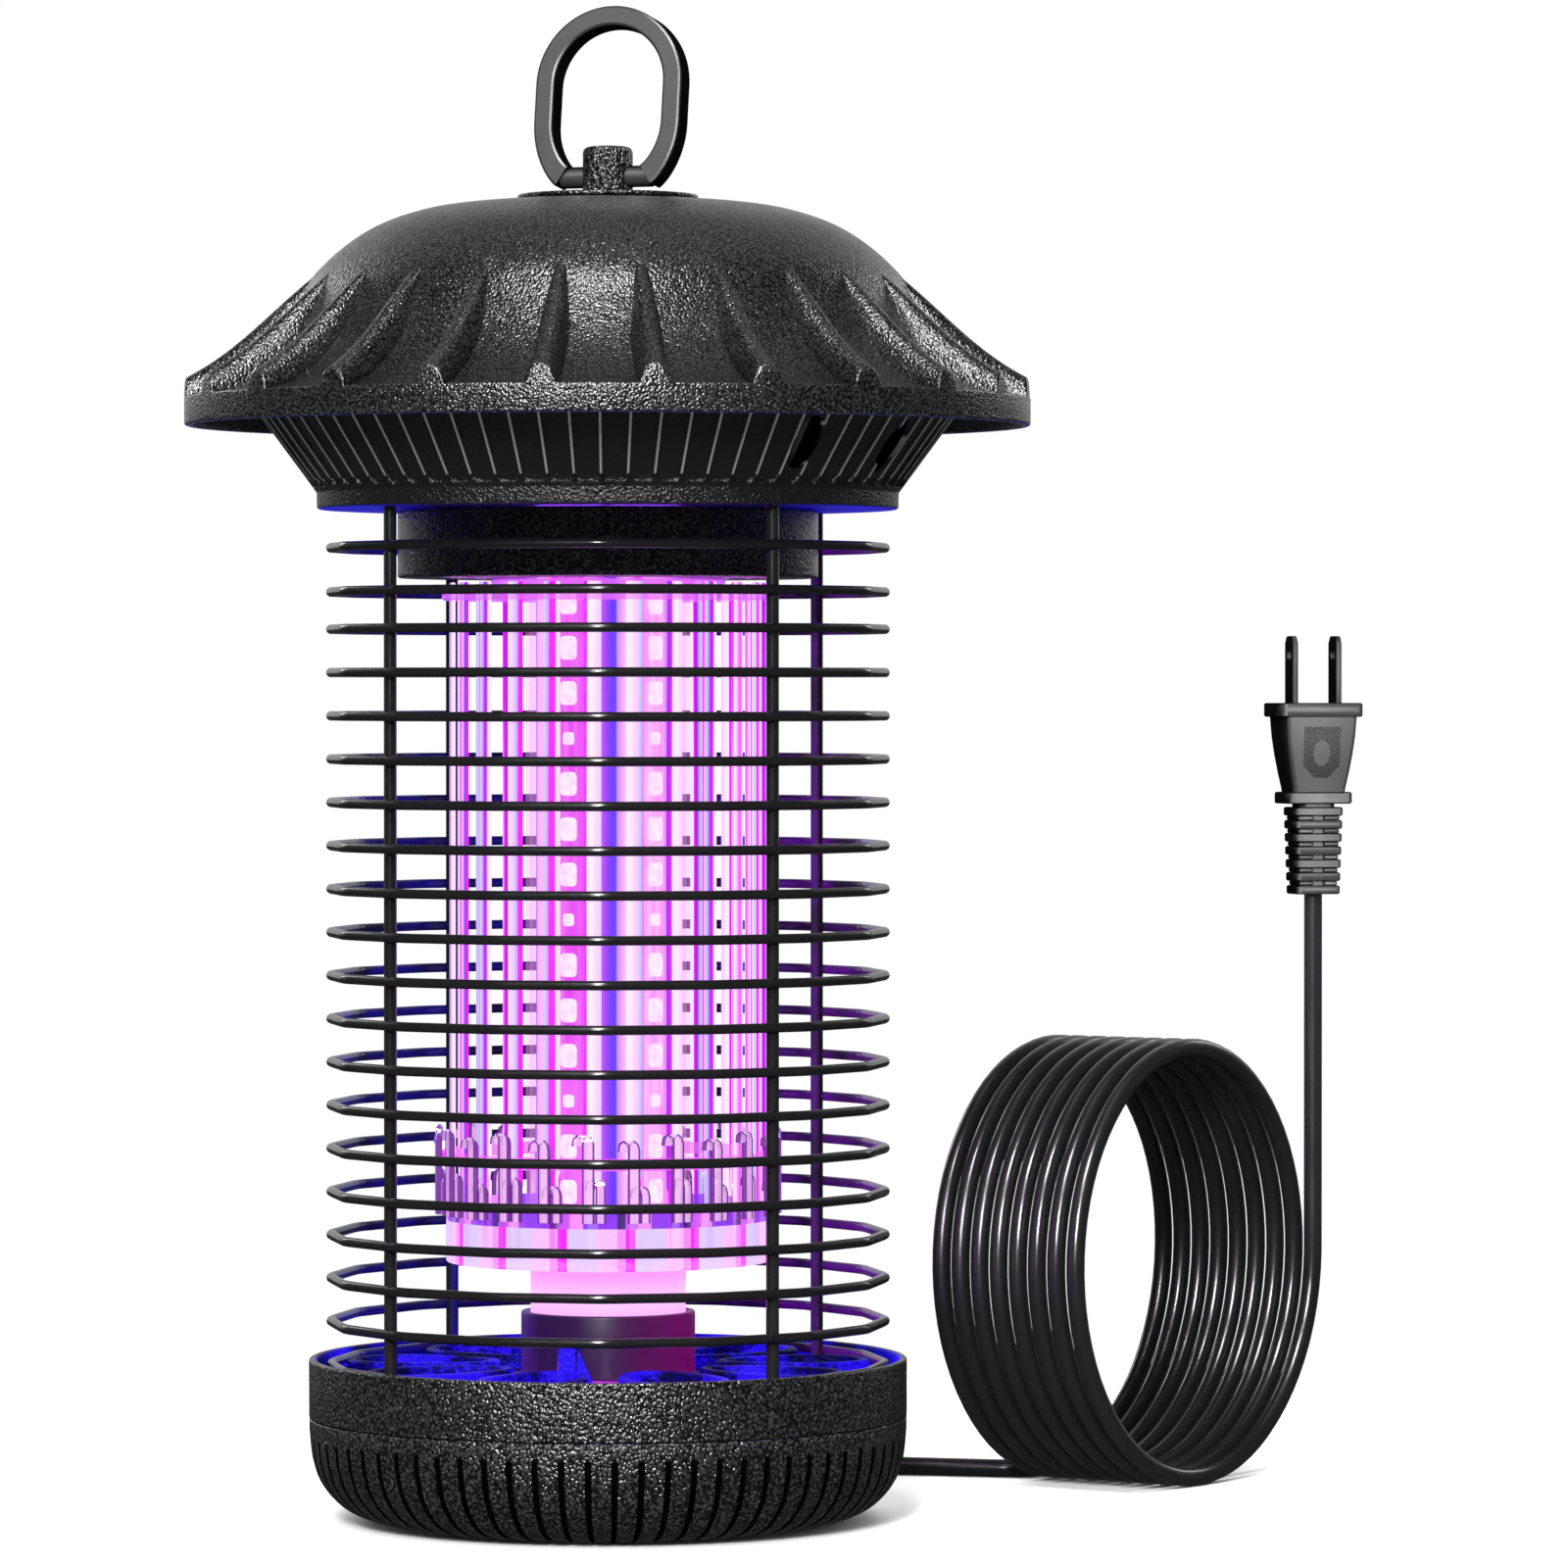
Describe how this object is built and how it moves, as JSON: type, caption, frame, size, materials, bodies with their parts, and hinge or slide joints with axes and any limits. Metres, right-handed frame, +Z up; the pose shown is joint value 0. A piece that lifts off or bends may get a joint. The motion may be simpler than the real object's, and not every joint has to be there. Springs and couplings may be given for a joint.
{
  "type": "electric bug zapper",
  "caption": "Hanging lantern-style electric insect killer: ribbed domed lid, wire cage round a lit high-voltage grid, twist-off bowl base, and a coiled mains cord with a two-blade plug.",
  "frame": {"origin": "middle of the flat foot of the base, on the floor", "axes": "+Z up the lantern's axis; -Y is the front; the cord and plug lie to +X and behind (+Y)"},
  "size_m": [0.3103, 0.2718, 0.387],
  "materials": {
    "grained_black": "leather-grained black ABS",
    "smooth_black": "smooth satin black plastic",
    "powder_coat": "satin black powder coat",
    "clear_plastic": "clear polycarbonate, lit from inside",
    "lamp_plastic": "translucent plastic, lit from inside",
    "light_strip": "white light strip",
    "white_board": "white solder mask",
    "grid_steel": "bright galvanised strip",
    "plated_steel": "zinc plated",
    "plated_brass": "nickel plated",
    "cord_jacket": "smooth black PVC",
    "seal_rubber": "soft black rubber",
    "circuit_board": "green solder mask",
    "transformer_tape": "yellow winding tape"
  },
  "bodies": {
    "lantern": {"base_band": "grained_black", "tray_deck": "grained_black", "lamp_housing": "grained_black", "upper_skirt": "grained_black", "top_cover": "grained_black", "hanger_disc": "grained_black", "lamp_socket": "smooth_black", "hv_capacitor_1": "smooth_black", "hv_capacitor_2": "smooth_black", "bridge_rectifier": "smooth_black", "wire_cage": "powder_coat", "lamp_tube": "clear_plastic", "lower_insulator": "clear_plastic", "clip_ring": "clear_plastic", "upper_insulator": "clear_plastic", "lamp_collar": "lamp_plastic", "led_strip_1": "light_strip", "led_strip_2": "light_strip", "led_strip_3": "light_strip", "led_strip_4": "light_strip", "led_column": "white_board", "lamp_top_cap": "white_board", "live_electrode": "grid_steel", "earth_electrode": "grid_steel", "top_nut_1": "plated_steel", "top_nut_2": "plated_steel", "top_nut_3": "plated_steel", "top_nut_4": "plated_steel", "foot_nut_1": "plated_steel", "foot_nut_2": "plated_steel", "foot_nut_3": "plated_steel", "foot_nut_4": "plated_steel", "cover_screw_1": "plated_steel", "cover_screw_2": "plated_steel", "cover_screw_3": "plated_steel", "plug_blade_left": "plated_brass", "plug_blade_right": "plated_brass", "power_cord": "cord_jacket", "plug_body": "cord_jacket", "supply_lead": "cord_jacket", "cord_bushing": "seal_rubber", "driver_board": "circuit_board", "hv_transformer": "transformer_tape"},
    "hanger": {"swivel_post": "grained_black", "post_washer": "plated_steel", "post_nut": "plated_steel"},
    "ring": {"hanging_ring": "powder_coat"},
    "bowl_carrier": {"bowl_seal": "seal_rubber"},
    "bowl": {"collection_bowl": "grained_black"}
  },
  "joints": [
    {"name": "hanger_swivel", "type": "hinge", "parent": "lantern", "child": "hanger", "pos_m": [0, 0, 0.343], "axis": [0, 0, 1], "continuous": true},
    {"name": "ring_fold", "type": "hinge", "parent": "hanger", "child": "ring", "pos_m": [0, 0, 0.343], "axis": [0.9336, -0.3584, 0], "range_deg": [-82, 98]},
    {"name": "bowl_drop", "type": "slide", "parent": "lantern", "child": "bowl_carrier", "axis": [0, 0, -1], "range_m": [0, 0.06]},
    {"name": "bowl_twist", "type": "hinge", "parent": "bowl_carrier", "child": "bowl", "pos_m": [0, 0, 0.027], "axis": [0, 0, 1], "range_deg": [0, 30]}
  ]
}
